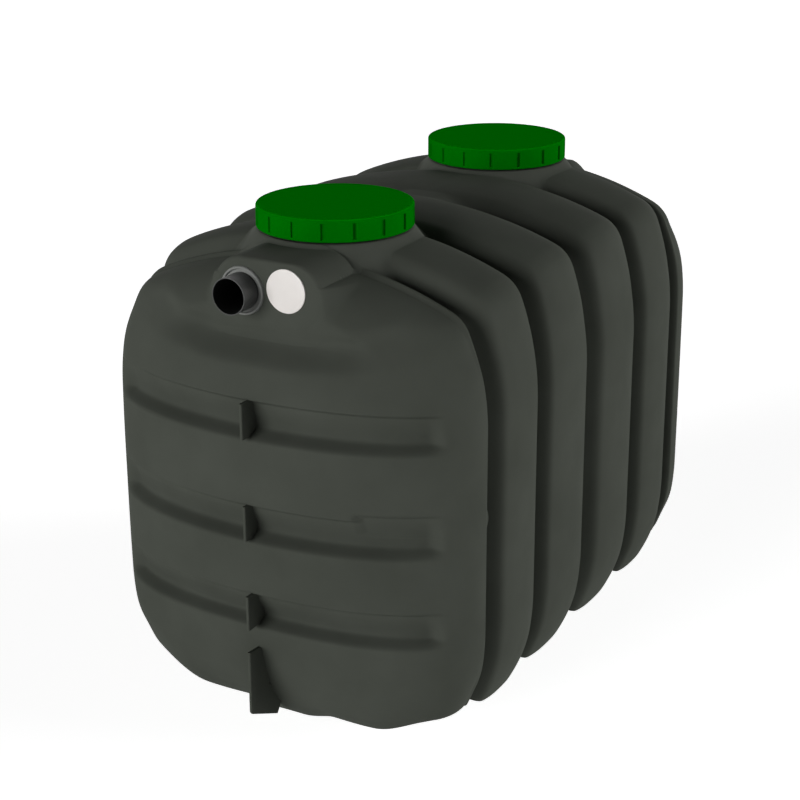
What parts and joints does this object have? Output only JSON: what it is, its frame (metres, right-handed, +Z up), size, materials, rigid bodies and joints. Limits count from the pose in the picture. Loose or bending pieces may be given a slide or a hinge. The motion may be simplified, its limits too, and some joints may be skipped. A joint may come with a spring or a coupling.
{
  "type": "septic tank",
  "caption": "Underground septic tank: a hooped plastic shell with domed ends, a pipe pad and stub at each end and two screw-lidded manhole necks on its roof.",
  "frame": {"origin": "on the ground, under the middle of the tank", "axes": "+X across the tank, +Y along it towards the outlet end, +Z up"},
  "size_m": [1.272, 2.138, 1.58],
  "materials": {
    "body_plastic": "satin moulded polyethylene",
    "neck_plastic": "satin moulded polyethylene",
    "lid_plastic": "green injection moulding, fine grain",
    "pipe_plastic": "smooth extruded pipe",
    "seal_rubber": "moulded rubber",
    "disc_plastic": "smooth white sheet",
    "gasket_rubber": "moulded rubber"
  },
  "bodies": {
    "tank": {"front_end": "body_plastic", "rear_end": "body_plastic", "left_wall": "body_plastic", "right_wall": "body_plastic", "floor": "body_plastic", "roof_left": "body_plastic", "roof_right": "body_plastic", "roof_front": "body_plastic", "roof_middle": "body_plastic", "roof_rear": "body_plastic", "inlet_neck": "neck_plastic", "outlet_neck": "neck_plastic", "inlet_cone": "neck_plastic", "outlet_cone": "neck_plastic", "inlet_pad": "body_plastic", "outlet_pad": "body_plastic", "inlet_pipe": "pipe_plastic", "outlet_pipe": "pipe_plastic", "inlet_seal": "seal_rubber", "outlet_seal": "seal_rubber", "inlet_disc": "disc_plastic", "outlet_disc": "disc_plastic", "front_webs": "body_plastic", "rear_webs": "body_plastic", "front_foot": "body_plastic", "rear_foot": "body_plastic", "left_lugs": "body_plastic", "right_lugs": "body_plastic"},
    "inlet_cover": {"inlet_lid": "lid_plastic", "inlet_gasket": "gasket_rubber"},
    "outlet_cover": {"outlet_lid": "lid_plastic", "outlet_gasket": "gasket_rubber"}
  },
  "joints": [
    {"name": "inlet_lid_lift", "type": "slide", "parent": "tank", "child": "inlet_cover", "axis": [0, 0, 1], "range_m": [0, 0.3]},
    {"name": "outlet_lid_lift", "type": "slide", "parent": "tank", "child": "outlet_cover", "axis": [0, 0, 1], "range_m": [0, 0.3]}
  ]
}
